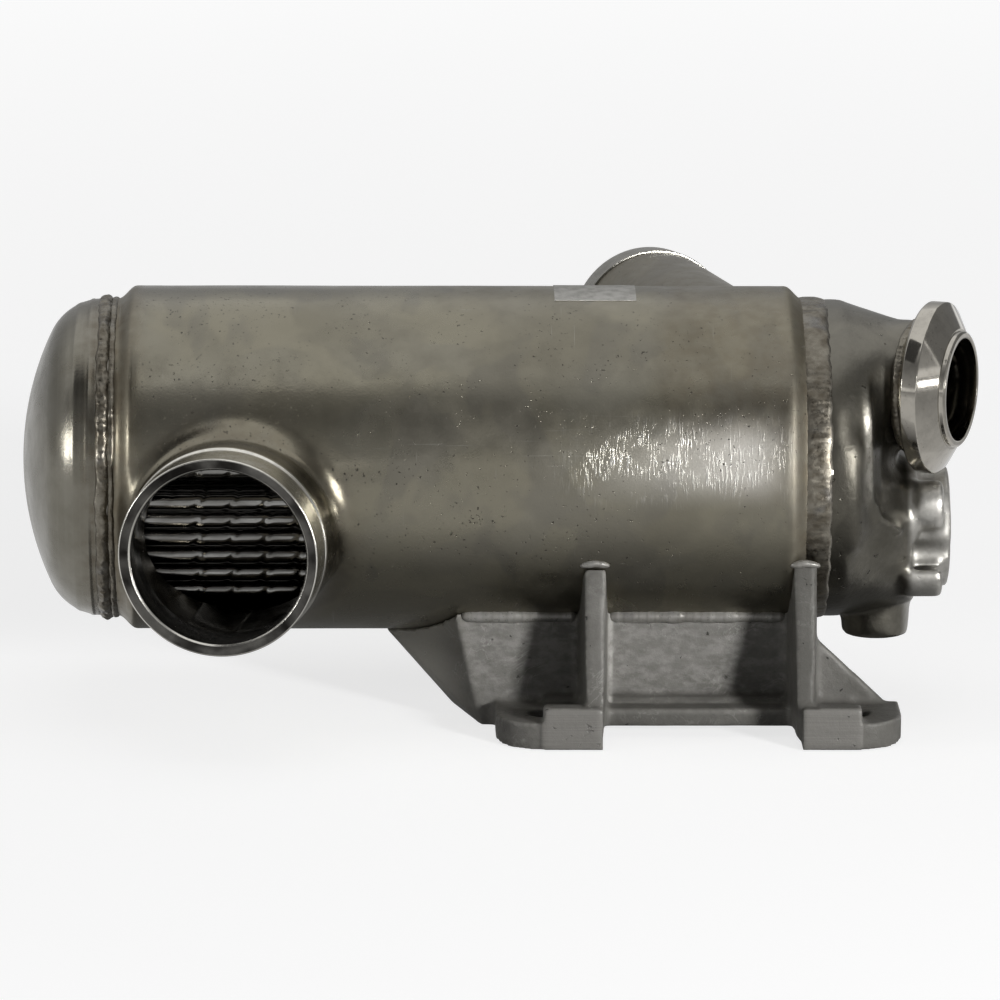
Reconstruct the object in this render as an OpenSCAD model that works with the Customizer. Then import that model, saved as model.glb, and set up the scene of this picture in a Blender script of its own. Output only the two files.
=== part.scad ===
// Two-pass exhaust gas recirculation cooler: shell and tube, on a cast bracket.
// X runs along the shell towards the gas header, -Y is the front, Z is up from the feet.
// The origin is the middle of the line between the two front foot holes, on the feet's underside.

/* [Shell] */
// Outside diameter of the barrel
shell_od = 152.4; // [148:0.2:160]
// Sheet thickness of the barrel
shell_wall = 2; // [1.6:0.1:2.4]
// Outside diameter of the swaged ends, the bonnet and the header skirt
neck_od = 140.8; // [138:0.2:142]
// Height of the shell axis over the feet
axis_h = 111; // [109:0.5:116]
// Left end of the plain barrel
barrel_left = -247.5; // [-270:0.5:-240]
// Right end of the plain barrel
barrel_right = 39.5; // [39:0.5:41]
// Length of each swage
swage_len = 8.5; // [7:0.5:9]

/* [Bonnet] */
// Inside curve of the dished head at its crown
crown_r = 130; // [120:1:150]
// Corner curve of the dished head
knuckle_r = 25.5; // [22:0.5:28]
// Sheet thickness of the bonnet
bonnet_wall = 2.5; // [2:0.1:3]

/* [Gas tubes] */
// Outside diameter of a gas tube
tube_od = 8; // [7.6:0.1:8.2]
// Bore of a gas tube
tube_bore = 5.8; // [5:0.1:6]
// Distance between neighbouring tubes
tube_pitch = 10.6; // [10.4:0.1:11]
// Advance of the helical corrugation per turn
helix_pitch = 14.6; // [12:0.2:18]
// Depth of the helical corrugation
helix_depth = 0.6; // [0.4:0.1:0.7]
// Tube rows of each pass
pass_rows = 6; // [4:1:6]

/* [Coolant ports] */
// Bore of the coolant inlet ring
inlet_bore = 74; // [66:0.2:74.4]
// Outside diameter of the coolant inlet ring
inlet_od = 85; // [85:0.2:88]
// Bore of the coolant outlet ring
outlet_bore = 58; // [50:0.2:59]
// Outside diameter of the coolant outlet ring
outlet_od = 70; // [70:0.2:72]

/* [Gas ports] */
// Bore of the gas inlet flange
gas_in_bore = 45.4; // [40:0.2:46]
// Rim diameter of the gas inlet flange
vband_od = 76; // [74:0.5:77]
// Bore of the gas outlet flange
gas_out_bore = 40; // [34:0.5:41]
// Bolt spacing of the gas outlet flange across the cooler
gas_out_across = 56; // [55:0.5:58]
// Bolt spacing of the gas outlet flange up and down
gas_out_up = 31.5; // [31:0.5:33]

/* [Feet] */
// Distance between the two front foot holes
front_hole_gap = 136; // [132:1:138]
// Distance between the two rear foot holes
rear_hole_gap = 72; // [66:1:76]
// Distance of the foot holes in front of and behind the shell axis
foot_y = 69; // [67:0.5:72]
// Diameter of the foot holes
foot_hole = 13.5; // [11:0.5:15]

/* [Hidden] */
$fn = 96;
e = 0.01;
shell_r = shell_od / 2;
neck_r = neck_od / 2;
lip = 1;
rim_t = 4;
shell_left = barrel_left - swage_len - lip;
shell_right = barrel_right + swage_len + lip;
sheet_left = shell_left - rim_t;
sheet_right = shell_right + rim_t;
plug_t = 6;
plug_r = neck_r - shell_wall - 0.2;
tube_r = tube_od / 2;
row_step = tube_pitch * sin(60);
divider = 5;
row_0 = divider / 2 + tube_r + 0.7;
bundle_r = plug_r - tube_r - 1.1;
tube_out = 1.5;
braze_gap = 0.05;
baffle_gap = 0.2;
baffle_t = 2;
baffle_r = shell_r - shell_wall - 0.3;
baffle_cut = row_0 + 2.5 * row_step;
baffle_x = [-140, -102, -64];
bonnet_skirt = 1.5;
wall = 5;
wall_y = 47;
wall_t = 7;
rib_x = 46;
rib_t = 6.6;
base_z = 4.2;
base_t = 14.5;
ear_r = 21;
ear_t = 11.5;
inlet_x = barrel_left + 57.5;
inlet_drop = 21;
inlet_lean = 9;
inlet_reach = 116.5;
inlet_len = 22;
outlet_x = 10.5;
outlet_rise = 40;
outlet_lean = 15;
outlet_reach = 112;
outlet_len = 14;
port_chamfer = 4.6;
gas_in = [107.9, -21, 36];
gas_in_turn = 22;
neck_pipe_r = 29;
vband_back = 11;
skirt_end = sheet_right + 12;
band_end = sheet_right + 18.5;
flange_x = 113;
lobe_x = 109;
flange_back = 97;
flange_z = -31;
flange_r = 27;
upper_lobe_r = 11;
lower_lobe_r = 10;
boss_x = 81.5;

// Pieces are drawn round the shell's own plane and set back from the line of the front feet.
module set_back() {
    translate([0, foot_y, 0])
        children();
}

// Places a piece on the shell axis at x, its own Z along +X.
module on_axis(x = 0) {
    translate([x, 0, axis_h])
        rotate([0, 90, 0])
            children();
}

// Smooth step of a swage between two radii, as profile points [radius, x].
function swage(x0, r0, x1, r1) =
    [for (i = [0:8]) [r0 + (r1 - r0) * (1 - cos(22.5 * i)) / 2, x0 + (x1 - x0) * i / 8]];

// Turned outline of the barrel, reduced by inset; ends run past by over.
function barrel(inset, over) = concat(
    [[0, shell_left - over], [neck_r - inset, shell_left - over]],
    swage(shell_left + lip, neck_r - inset, barrel_left, shell_r - inset),
    swage(barrel_right, shell_r - inset, barrel_right + swage_len, neck_r - inset),
    [[neck_r - inset, shell_right + over], [0, shell_right + over]]);

module barrel_solid(inset = 0, over = 0) {
    on_axis()
        rotate_extrude()
            polygon(barrel(inset, over));
}

// Frame of a coolant port: its own Z points out along the port, leaning to -X.
module port_frame(x, drop, lean) {
    translate([x, 0, axis_h])
        translate([0, 0, -drop])
            rotate([0, 0, -lean])
                rotate([90, 0, 0])
                    children();
}

// The outlet is an inlet turned over about the shell axis.
module turned_over() {
    translate([0, 0, axis_h])
        rotate([180, 0, 0])
            translate([0, 0, -axis_h])
                children();
}

// Reach of the barrel surface along a port, at radius rho and angle phi round the port.
function reach(rho, phi, drop, lean) =
    (sqrt(max(pow(shell_r, 2) - pow(rho * sin(phi) - drop, 2), 1)) - rho * cos(phi) * sin(lean))
    / cos(lean);

// Fillet of a pulled collar, kept inside the barrel's own height.
function collar_fillet(r, phi, drop, f) =
    min(f, (shell_r - 0.5 - drop) / max(-sin(phi), 0.01) - r);

// Collar drawn out of the barrel: the foot follows the barrel, the top is flat at reach top.
module collar(r, drop, lean, top, f) {
    n = 44;
    steps = 6;
    sink = 0.5;
    loops = concat(
        [[for (j = [0:n - 1])
            let (phi = 360 * j / n, g = collar_fillet(r, phi, drop, f), q = r + g)
            [q * cos(phi), q * sin(phi), reach(q, phi, drop, lean) - 4]]],
        [for (i = [0:steps])
            [for (j = [0:n - 1])
                let (phi = 360 * j / n, t = 90 * i / steps, g = collar_fillet(r, phi, drop, f),
                     q = r + g * (1 - sin(t)))
                [q * cos(phi), q * sin(phi),
                 reach(q, phi, drop, lean) - sink + (g + sink) * (1 - cos(t))]]],
        [[for (j = [0:n - 1]) [r * cos(360 * j / n), r * sin(360 * j / n), top]]]);
    m = len(loops);
    points = concat([for (l = loops) each l], [[0, 0, 15]]);
    sides = [for (i = [0:m - 2], j = [0:n - 1], h = [0, 1])
        let (a = i * n + j, b = a + n, c = (i + 1) * n + (j + 1) % n, d = i * n + (j + 1) % n)
        h == 0 ? [a, b, c] : [a, c, d]];
    foot = [for (j = [0:n - 1]) [m * n, j, (j + 1) % n]];
    cap = [[for (j = [n - 1:-1:0]) (m - 1) * n + j]];
    polyhedron(points, concat(sides, foot, cap), convexity = 6);
}

// Rounded weld bead round a cylinder of radius r, w wide and h high, centred on Z = 0.
module bead_ring(r, w, h) {
    c = (w * w / 4 + h * h) / (2 * h);
    rotate_extrude()
        difference() {
            translate([r + h - c, 0])
                circle(c);
            translate([r - 2 * c, -c])
                square([2 * c, 2 * c]);
        }
}

// Tube places of one pass: [y, height from the axis, first of its row, last of its row].
function pass_tubes() = [for (k = [0:pass_rows - 1])
    let (z = row_0 + k * row_step, s = k % 2 == 0 ? 0.5 : 0,
         n = floor(sqrt(pow(bundle_r, 2) - z * z) / tube_pitch - s), first = s > 0 ? -n - 1 : -n)
    for (j = [first:n]) [(j + s) * tube_pitch, z, j == first, j == n, k]];

module all_tube_holes(r, x0, x1) {
    for (side = [-1, 1], p = pass_tubes())
        translate([x0, p[0], axis_h + side * p[1]])
            rotate([0, 90, 0])
                cylinder(r = r, h = x1 - x0);
}

// One gas tube; between from and to it carries the single-start helical corrugation.
module gas_tube(from = 0, to = 0) {
    left = sheet_left - tube_out;
    right = sheet_right + tube_out;
    rotate([0, 90, 0])
        difference() {
            union() {
                if (to > from) {
                    translate([0, 0, left])
                        cylinder(r = tube_r, h = from - left);
                    translate([0, 0, from])
                        linear_extrude(height = to - from, twist = 360 * (to - from) / helix_pitch,
                                       slices = round(6 * (to - from) / helix_pitch), $fn = 10)
                            polygon([for (i = [0:9]) (tube_r - (i == 0 ? helix_depth : 0.03))
                                     * [cos(36 * i), sin(36 * i)]]);
                    translate([0, 0, to])
                        cylinder(r = tube_r, h = right - to);
                } else
                    translate([0, 0, left])
                        cylinder(r = tube_r, h = right - left);
            }
            translate([0, 0, left - 1])
                cylinder(d = tube_bore, h = right - left + 2);
        }
}

module tube_sheet(rim_x, plug_x) {
    difference() {
        union() {
            on_axis(rim_x)
                cylinder(r = neck_r, h = rim_t);
            on_axis(plug_x)
                cylinder(r = plug_r, h = plug_t + e);
        }
        all_tube_holes(tube_r + braze_gap, min(rim_x, plug_x) - 1, max(rim_x, plug_x) + plug_t + 1);
    }
}

module baffle(x, side) {
    difference() {
        on_axis(x)
            cylinder(r = baffle_r, h = baffle_t);
        translate([x - 1, -shell_r, axis_h + (side > 0 ? baffle_cut : -baffle_cut - shell_r)])
            cube([baffle_t + 2, shell_od, shell_r]);
        all_tube_holes(tube_r + baffle_gap, x - 1, x + baffle_t + 1);
    }
}

// Turned port ring, its seat on Z = 0, mouth chamfered.
module port_ring(od, bore, len) {
    rotate_extrude()
        polygon([[bore / 2, 0], [od / 2 + 0.8, 0], [od / 2 + 0.8, 2.4], [od / 2, 3.2],
                 [od / 2, len - 0.6], [od / 2 - 0.6, len],
                 [bore / 2 + port_chamfer, len], [bore / 2, len - port_chamfer]]);
}

module shell() {
    color("#8d877a") set_back()
        difference() {
            union() {
                barrel_solid();
                port_frame(inlet_x, inlet_drop, inlet_lean)
                    collar(inlet_od / 2, inlet_drop, inlet_lean, inlet_reach - inlet_len, 9);
                turned_over()
                    port_frame(outlet_x, outlet_rise, outlet_lean)
                        collar(outlet_od / 2, outlet_rise, outlet_lean, outlet_reach - outlet_len, 10);
            }
            barrel_solid(shell_wall, 1);
            port_frame(inlet_x, inlet_drop, inlet_lean)
                translate([0, 0, 25])
                    cylinder(d = inlet_bore + 1.6, h = inlet_reach);
            turned_over()
                port_frame(outlet_x, outlet_rise, outlet_lean)
                    translate([0, 0, 20])
                        cylinder(d = outlet_bore + 1.6, h = outlet_reach);
        }
}

module inlet_ring() {
    color("#a7a49b") set_back()
        port_frame(inlet_x, inlet_drop, inlet_lean)
            translate([0, 0, inlet_reach - inlet_len])
                port_ring(inlet_od, inlet_bore, inlet_len);
}

module outlet_ring() {
    color("#a7a49b") set_back()
        turned_over()
            port_frame(outlet_x, outlet_rise, outlet_lean)
                translate([0, 0, outlet_reach - outlet_len])
                    port_ring(outlet_od, outlet_bore, outlet_len);
}

// Half section of the dished head from its open end, reduced by inset.
module dish(inset) {
    k = neck_r - knuckle_r;
    depth = sqrt(pow(crown_r - knuckle_r, 2) - k * k);
    turn = asin(k / (crown_r - knuckle_r));
    far = 2 * crown_r;
    translate([0, bonnet_skirt]) {
        intersection() {
            translate([0, -depth])
                circle(crown_r - inset, $fn = 200);
            polygon([[0, -depth], [far * sin(turn), far * cos(turn) - depth], [0, far]]);
            translate([0, -inset])
                square([neck_r, crown_r]);
        }
        intersection() {
            translate([k, 0])
                circle(knuckle_r - inset);
            square([neck_r, crown_r]);
        }
        square([k, knuckle_r - inset - 3]);
    }
    translate([0, -inset])
        square([neck_r - inset, bonnet_skirt + inset]);
}

module return_bonnet() {
    color("#8f8a80") set_back()
        translate([sheet_left, 0, axis_h])
            rotate([0, -90, 0])
                rotate_extrude()
                    difference() {
                        union() {
                            dish(0);
                            translate([neck_r - 0.7, 6.4])
                                circle(1.1);
                        }
                        dish(bonnet_wall);
                    }
}

module return_tube_sheet() {
    color("#7d7a72") set_back()
        tube_sheet(sheet_left, shell_left);
}

module header_tube_sheet() {
    color("#7d7a72") set_back()
        tube_sheet(shell_right, shell_right - plug_t);
}

module upper_tubes() {
    color("#8a857a") set_back()
        for (p = pass_tubes())
            translate([0, p[0], axis_h + p[1]])
                if (p[4] == 0 && p[2])
                    gas_tube(inlet_x - 36, inlet_x - 36 + 5 * helix_pitch);
                else if (p[4] > 0 && p[3])
                    gas_tube(-44, -44 + 5 * helix_pitch);
                else
                    gas_tube();
}

module lower_tubes() {
    color("#8a857a") set_back()
        for (p = pass_tubes())
            translate([0, p[0], axis_h - p[1]])
                if (p[2])
                    gas_tube(inlet_x - 36, inlet_x - 36 + 5 * helix_pitch);
                else
                    gas_tube();
}

module baffle_1() {
    color("#7d7a72") set_back()
        baffle(baffle_x[0], 1);
}

module baffle_2() {
    color("#7d7a72") set_back()
        baffle(baffle_x[1], -1);
}

module baffle_3() {
    color("#7d7a72") set_back()
        baffle(baffle_x[2], 1);
}

// Frame of the gas inlet: its own Z points out along the inlet.
module gas_in_frame() {
    translate([gas_in[0], gas_in[1], axis_h + gas_in[2]])
        rotate([0, 0, -gas_in_turn])
            rotate([0, 90, 0])
                children();
}

// Thin slice of the skirt circle above (side 1) or below (side -1) the height cut.
module half_slice(x, r, cut, side, t) {
    on_axis(x)
        linear_extrude(t)
            intersection() {
                circle(r, $fn = 64);
                translate([side > 0 ? -2 * r - cut : -cut, -r])
                    square(2 * r);
            }
}

module gas_header() {
    across = gas_out_across / 2;
    up = gas_out_up / 2;
    color("#77736b") set_back()
        difference() {
            union() {
                on_axis(sheet_right)
                    cylinder(r = neck_r, h = skirt_end - sheet_right);
                intersection() {
                    on_axis(sheet_right)
                        cylinder(r = neck_r, h = band_end - sheet_right);
                    translate([sheet_right, -neck_r, axis_h - 28])
                        cube([30, neck_od, 50]);
                }
                hull() {
                    half_slice(skirt_end - 2.3, neck_r - 0.2, -8, 1, 1);
                    gas_in_frame()
                        translate([0, 0, -vband_back - 5])
                            cylinder(r = neck_pipe_r - 2, h = 1, $fn = 48);
                }
                hull() {
                    half_slice(skirt_end - 2.3, neck_r - 0.2, 8, -1, 1);
                    translate([flange_back, 0, axis_h + flange_z])
                        rotate([0, 90, 0])
                            cylinder(r = flange_r + 6.5, h = 1, $fn = 48);
                }
                gas_in_frame()
                    translate([0, 0, -vband_back - 10])
                        cylinder(r = neck_pipe_r, h = 10);
                translate([flange_back, 0, axis_h + flange_z])
                    rotate([0, 90, 0])
                        cylinder(r = flange_r, h = flange_x - flange_back);
                for (y = [-across, across]) {
                    translate([flange_back - 1, y, axis_h + flange_z + up])
                        rotate([0, 90, 0])
                            cylinder(r = upper_lobe_r, h = lobe_x - flange_back + 1);
                    translate([lobe_x - 18, y, axis_h + flange_z - up])
                        rotate([0, 90, 0])
                            cylinder(r = lower_lobe_r, h = 18);
                }
                translate([flange_back - 1, -across, axis_h + flange_z - up])
                    cube([lobe_x - flange_back + 1, 2 * across, 2 * up]);
                translate([boss_x, 0, axis_h - 80])
                    cylinder(r1 = 14.8, r2 = 16.4, h = 30);
            }
            hull() {
                half_slice(sheet_right - 1, neck_r - wall, divider / 2, 1, 6);
                gas_in_frame()
                    translate([0, 0, -vband_back - 6])
                        cylinder(d = gas_in_bore, h = 1, $fn = 48);
            }
            hull() {
                half_slice(sheet_right - 1, neck_r - wall, -divider / 2, -1, 6);
                translate([flange_back - 1, 0, axis_h + flange_z])
                    rotate([0, 90, 0])
                        cylinder(d = gas_out_bore - 0.4, h = 1, $fn = 48);
            }
            gas_in_frame()
                translate([0, 0, -vband_back - 8])
                    cylinder(d = gas_in_bore + 1, h = 12);
            translate([flange_back - 1, 0, axis_h + flange_z])
                rotate([0, 90, 0])
                    cylinder(d = gas_out_bore, h = 20);
            for (y = [-across, across]) {
                for (z = [-up, up])
                    translate([lobe_x - 14, y, axis_h + flange_z + z])
                        rotate([0, 90, 0])
                            cylinder(d = 6.8, h = 15);
                translate([flange_back - 2, y + sign(y) * 4, axis_h + flange_z - 6.2])
                    rotate([0, 90, 0])
                        cylinder(r = 7, h = 40);
            }
        }
}

module vband_flange() {
    b = gas_in_bore / 2;
    r = vband_od / 2;
    color("#b3b0a8") set_back()
        gas_in_frame()
            rotate_extrude()
                polygon([[b, -vband_back], [neck_pipe_r, -vband_back], [neck_pipe_r, -8], [r - 1.2, -8],
                         [r, -6.8], [r, 0], [b + 3.8, 6.8], [b + 3, 6.8], [b + 3, 8.6],
                         [b + 2, 9.4], [b, 9.4]]);
}

// Ribs stand across the shell, thicker towards the walls, sloping out to the feet.
module bracket_rib(x) {
    intersection() {
        linear_extrude(axis_h)
            polygon([[x - rib_t / 2, -90], [x + rib_t / 2, -90], [x + 6.8, -wall_y], [x + 6.8, wall_y],
                     [x + rib_t / 2, 90], [x - rib_t / 2, 90], [x - 6.8, wall_y], [x - 6.8, -wall_y]]);
        translate([x - 10, 0, 0])
            rotate([90, 0, 90])
                linear_extrude(20)
                    polygon([[-86, base_z], [-86, 19], [-68, axis_h - 33], [68, axis_h - 33],
                             [80, 13], [80, base_z]]);
    }
}

// Pointed nose of the bracket under the barrel, shrunk by inset.
module bracket_nose(inset, top) {
    w = wall_y - inset;
    hull() {
        for (y = [-w, w]) {
            translate([-60, y, 0])
                cube([e, e, top]);
            translate([-95 + inset, y, 0])
                cube([e, e, e]);
            translate([-107 + inset, y, top])
                cube([e, e, e]);
        }
        for (y = [-8, 8]) {
            translate([-107 + 1.6 * inset, y, 0])
                cube([e, e, e]);
            translate([-140 + 1.6 * inset, y, axis_h - 73])
                cube([e, e, e]);
        }
    }
}

module foot(x, y) {
    s = y < 0 ? 1 : -1;
    difference() {
        linear_extrude(ear_t)
            union() {
                translate([x, y])
                    circle(ear_r);
                translate([x - ear_r, min(y, -s * wall_y)])
                    square([2 * ear_r, abs(y) - wall_y]);
            }
        translate([x, y, -1])
            cylinder(d = foot_hole, h = ear_t + 2);
    }
}

module bracket() {
    front = front_hole_gap / 2;
    rear = rear_hole_gap / 2;
    inner = wall_y - wall_t;
    color("#75716a") set_back()
        difference() {
            union() {
                difference() {
                    union() {
                        bracket_nose(0, axis_h - 57);
                        translate([-61, -wall_y, base_z])
                            cube([rib_x + 61, 2 * wall_y, axis_h - 40]);
                    }
                    translate([0, 0, -1])
                        bracket_nose(wall_t, axis_h);
                    translate([-61, -inner, -1])
                        cube([rib_x + 61, 2 * inner, axis_h]);
                }
                for (x = [-rib_x, rib_x])
                    bracket_rib(x);
                translate([-front, -66, base_z])
                    cube([2 * front, 66 - inner, 8]);
                translate([-front, -wall_y - 6, base_z])
                    cube([2 * front, wall_y + 6 - inner, base_t - base_z]);
                for (x = [-front, front])
                    foot(x, -foot_y);
                for (x = [-1, 1])
                    translate([x * 56.5 - 12, -91, 0])
                        cube([26, 10, 18.5]);
                for (x = [-rear, rear])
                    foot(x, foot_y);
                translate([-rear, inner, 0.8])
                    cube([2 * rear, foot_y + ear_r - 3 - inner, ear_t - 1.6]);
                translate([0, -wall_y + 1, 0])
                    rotate([90, 0, 0])
                        linear_extrude(6)
                            polygon([[rib_x, 5], [front + 10, 5], [82, base_t - 2], [50, 42.5], [rib_x, 48.5]]);
            }
            barrel_solid();
            on_axis(shell_right - 2.6)
                cylinder(r = neck_r + 2.4, h = 40);
            for (x = [-front, front])
                translate([x, -foot_y, -1])
                    cylinder(d = foot_hole, h = 40);
            for (x = [-rear, rear])
                translate([x, foot_y, -1])
                    cylinder(d = foot_hole, h = 40);
        }
}

module bonnet_weld() {
    color("#6f6a60") set_back()
        on_axis(sheet_left)
            bead_ring(neck_r, 5, 1.8);
}

module shell_weld() {
    color("#6f6a60") set_back()
        on_axis(shell_left)
            bead_ring(neck_r, 2.6, 0.9);
}

module header_weld() {
    color("#6f6a60") set_back()
        on_axis(sheet_right - rim_t / 2)
            bead_ring(neck_r, 8, 1.9);
}

module vband_weld() {
    color("#6f6a60") set_back()
        gas_in_frame()
            translate([0, 0, -vband_back - 1])
                bead_ring(neck_pipe_r, 5, 1.6);
}

module bracket_welds() {
    seam_z = axis_h - sqrt(pow(shell_r, 2) - pow(wall_y, 2));
    color("#6f6a60") set_back()
        for (s = [-1, 1], span = [[-104, -rib_x - 7], [-rib_x + 7, rib_x - 7]])
            difference() {
                translate([span[0], s * wall_y, seam_z])
                    rotate([0, 90, 0])
                        cylinder(r = 4.2, h = span[1] - span[0]);
                barrel_solid();
                translate([span[0] - 1, -wall_y, seam_z - 10])
                    cube([span[1] - span[0] + 2, 2 * wall_y, 20]);
            }
}

shell();
inlet_ring();
outlet_ring();
return_bonnet();
return_tube_sheet();
header_tube_sheet();
upper_tubes();
lower_tubes();
baffle_1();
baffle_2();
baffle_3();
gas_header();
vband_flange();
bracket();
bonnet_weld();
shell_weld();
header_weld();
vband_weld();
bracket_welds();
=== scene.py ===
import math

import bmesh
import bpy
import numpy as np
from mathutils import Matrix, Vector, noise
from mathutils.geometry import delaunay_2d_cdt


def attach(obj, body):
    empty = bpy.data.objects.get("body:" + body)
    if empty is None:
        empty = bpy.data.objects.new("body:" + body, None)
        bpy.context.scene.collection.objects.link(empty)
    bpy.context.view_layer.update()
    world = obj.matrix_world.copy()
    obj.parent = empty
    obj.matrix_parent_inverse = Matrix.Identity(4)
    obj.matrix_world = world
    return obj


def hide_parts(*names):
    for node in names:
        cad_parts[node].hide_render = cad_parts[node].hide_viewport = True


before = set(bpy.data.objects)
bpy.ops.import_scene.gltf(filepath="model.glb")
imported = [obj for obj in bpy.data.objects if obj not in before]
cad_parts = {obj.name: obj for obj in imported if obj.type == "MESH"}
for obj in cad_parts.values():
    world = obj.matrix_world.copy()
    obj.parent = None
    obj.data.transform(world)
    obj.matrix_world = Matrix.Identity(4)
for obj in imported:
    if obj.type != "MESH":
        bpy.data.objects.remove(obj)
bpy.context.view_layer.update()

# Sizes in millimetres, as in the solids. The shell's own plane lies SET_BACK behind the front feet.
MM = 0.001
SET_BACK = 69.0
AXIS_H = 111.0
SHELL_R, NECK_R, SHELL_WALL = 76.2, 70.4, 2.0
BARREL_LEFT, BARREL_RIGHT, SWAGE, LIP = -247.5, 39.5, 8.5, 1.0
SHELL_LEFT = BARREL_LEFT - SWAGE - LIP
SHELL_RIGHT = BARREL_RIGHT + SWAGE + LIP
SHEET_LEFT, SHEET_RIGHT = SHELL_LEFT - 4, SHELL_RIGHT + 4
WALL_Y, RIB_X = 47.0, 46.0
GAS_IN, GAS_IN_TURN = (107.9, -21.0, 36.0), math.radians(22)
SEAM = math.radians(-58.5)


# ---- materials ----------------------------------------------------------------------------------
def bare(owner):
    """The owner's node tree, emptied."""
    owner.use_nodes = True
    owner.node_tree.nodes.clear()
    return owner.node_tree


class Mat:
    """A node material whose texture space is the part's own frame, in millimetres."""

    def __init__(self, name):
        self.mat = bpy.data.materials.new(name)
        self.tree = bare(self.mat)
        self.out = self.node("ShaderNodeOutputMaterial")
        self.bsdf = self.node("ShaderNodeBsdfPrincipled")
        self.tree.links.new(self.bsdf.outputs[0], self.out.inputs[0])
        coords = self.node("ShaderNodeTexCoord")
        scale = self.node("ShaderNodeVectorMath", operation="SCALE")
        self.tree.links.new(coords.outputs["Object"], scale.inputs[0])
        scale.inputs["Scale"].default_value = 1000
        self.p = scale.outputs[0]
        split = self.node("ShaderNodeSeparateXYZ")
        self.tree.links.new(self.p, split.inputs[0])
        self.x, self.y, self.z = split.outputs

    def node(self, kind, **props):
        n = self.tree.nodes.new(kind)
        for key, value in props.items():
            setattr(n, key, value)
        return n

    def feed(self, socket, value):
        if isinstance(value, bpy.types.NodeSocket):
            self.tree.links.new(value, socket)
        elif isinstance(value, (tuple, list)) and len(value) == 3 and socket.type == "RGBA":
            socket.default_value = (*value, 1)
        else:
            socket.default_value = value

    def math(self, op, a, b=0.0):
        n = self.node("ShaderNodeMath", operation=op)
        self.feed(n.inputs[0], a)
        self.feed(n.inputs[1], b)
        return n.outputs[0]

    def noise(self, wave, detail=3.0, rough=0.5, seed=0.0, distort=0.0):
        waves = wave if isinstance(wave, tuple) else (wave,) * 3
        m = self.node("ShaderNodeMapping")
        self.feed(m.inputs["Vector"], self.p)
        m.inputs["Scale"].default_value = [1 / w for w in waves]
        m.inputs["Location"].default_value = (seed * 7.3, seed * 3.1, seed * 5.7)
        n = self.node("ShaderNodeTexNoise")
        self.feed(n.inputs["Vector"], m.outputs[0])
        n.inputs["Scale"].default_value = 1
        n.inputs["Detail"].default_value = detail
        n.inputs["Roughness"].default_value = rough
        n.inputs["Distortion"].default_value = distort
        return n.outputs[0]

    def span(self, value, lo, hi, a=0.0, b=1.0):
        n = self.node("ShaderNodeMapRange", interpolation_type="SMOOTHSTEP")
        for socket, v in zip(n.inputs, (value, lo, hi, a, b)):
            self.feed(socket, v)
        return n.outputs[0]

    def window(self, value, lo, hi, soft):
        return self.math("MULTIPLY", self.span(value, lo, lo + soft), self.span(value, hi, hi - soft))

    def mix(self, fac, a, b):
        n = self.node("ShaderNodeMix", data_type="RGBA")
        self.feed(n.inputs[0], fac)
        self.feed(n.inputs[6], a)
        self.feed(n.inputs[7], b)
        return n.outputs[2]

    def product(self, *values):
        total = values[0]
        for v in values[1:]:
            total = self.math("MULTIPLY", total, v)
        return total

    def bump(self, height, depth, normal=None):
        n = self.node("ShaderNodeBump")
        n.inputs["Distance"].default_value = depth * MM
        self.feed(n.inputs["Height"], height)
        if normal is not None:
            self.feed(n.inputs["Normal"], normal)
        return n.outputs[0]

    def finish(self, colour, rough, normal=None, metallic=1.0, **constants):
        self.feed(self.bsdf.inputs["Base Color"], colour)
        self.feed(self.bsdf.inputs["Roughness"], rough)
        self.bsdf.inputs["Metallic"].default_value = metallic
        if normal is not None:
            self.feed(self.bsdf.inputs["Normal"], normal)
        for key, value in constants.items():
            self.bsdf.inputs[key.replace("_", " ")].default_value = value
        return self.mat


def far_from_axis(m, origin, direction):
    """Distance of a surface point from a line, as a node value in millimetres."""
    rel = m.node("ShaderNodeVectorMath", operation="SUBTRACT")
    m.feed(rel.inputs[0], m.p)
    rel.inputs[1].default_value = origin
    cross = m.node("ShaderNodeVectorMath", operation="CROSS_PRODUCT")
    m.feed(cross.inputs[0], rel.outputs[0])
    cross.inputs[1].default_value = direction
    length = m.node("ShaderNodeVectorMath", operation="LENGTH")
    m.feed(length.inputs[0], cross.outputs[0])
    return length.outputs["Value"]


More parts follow.
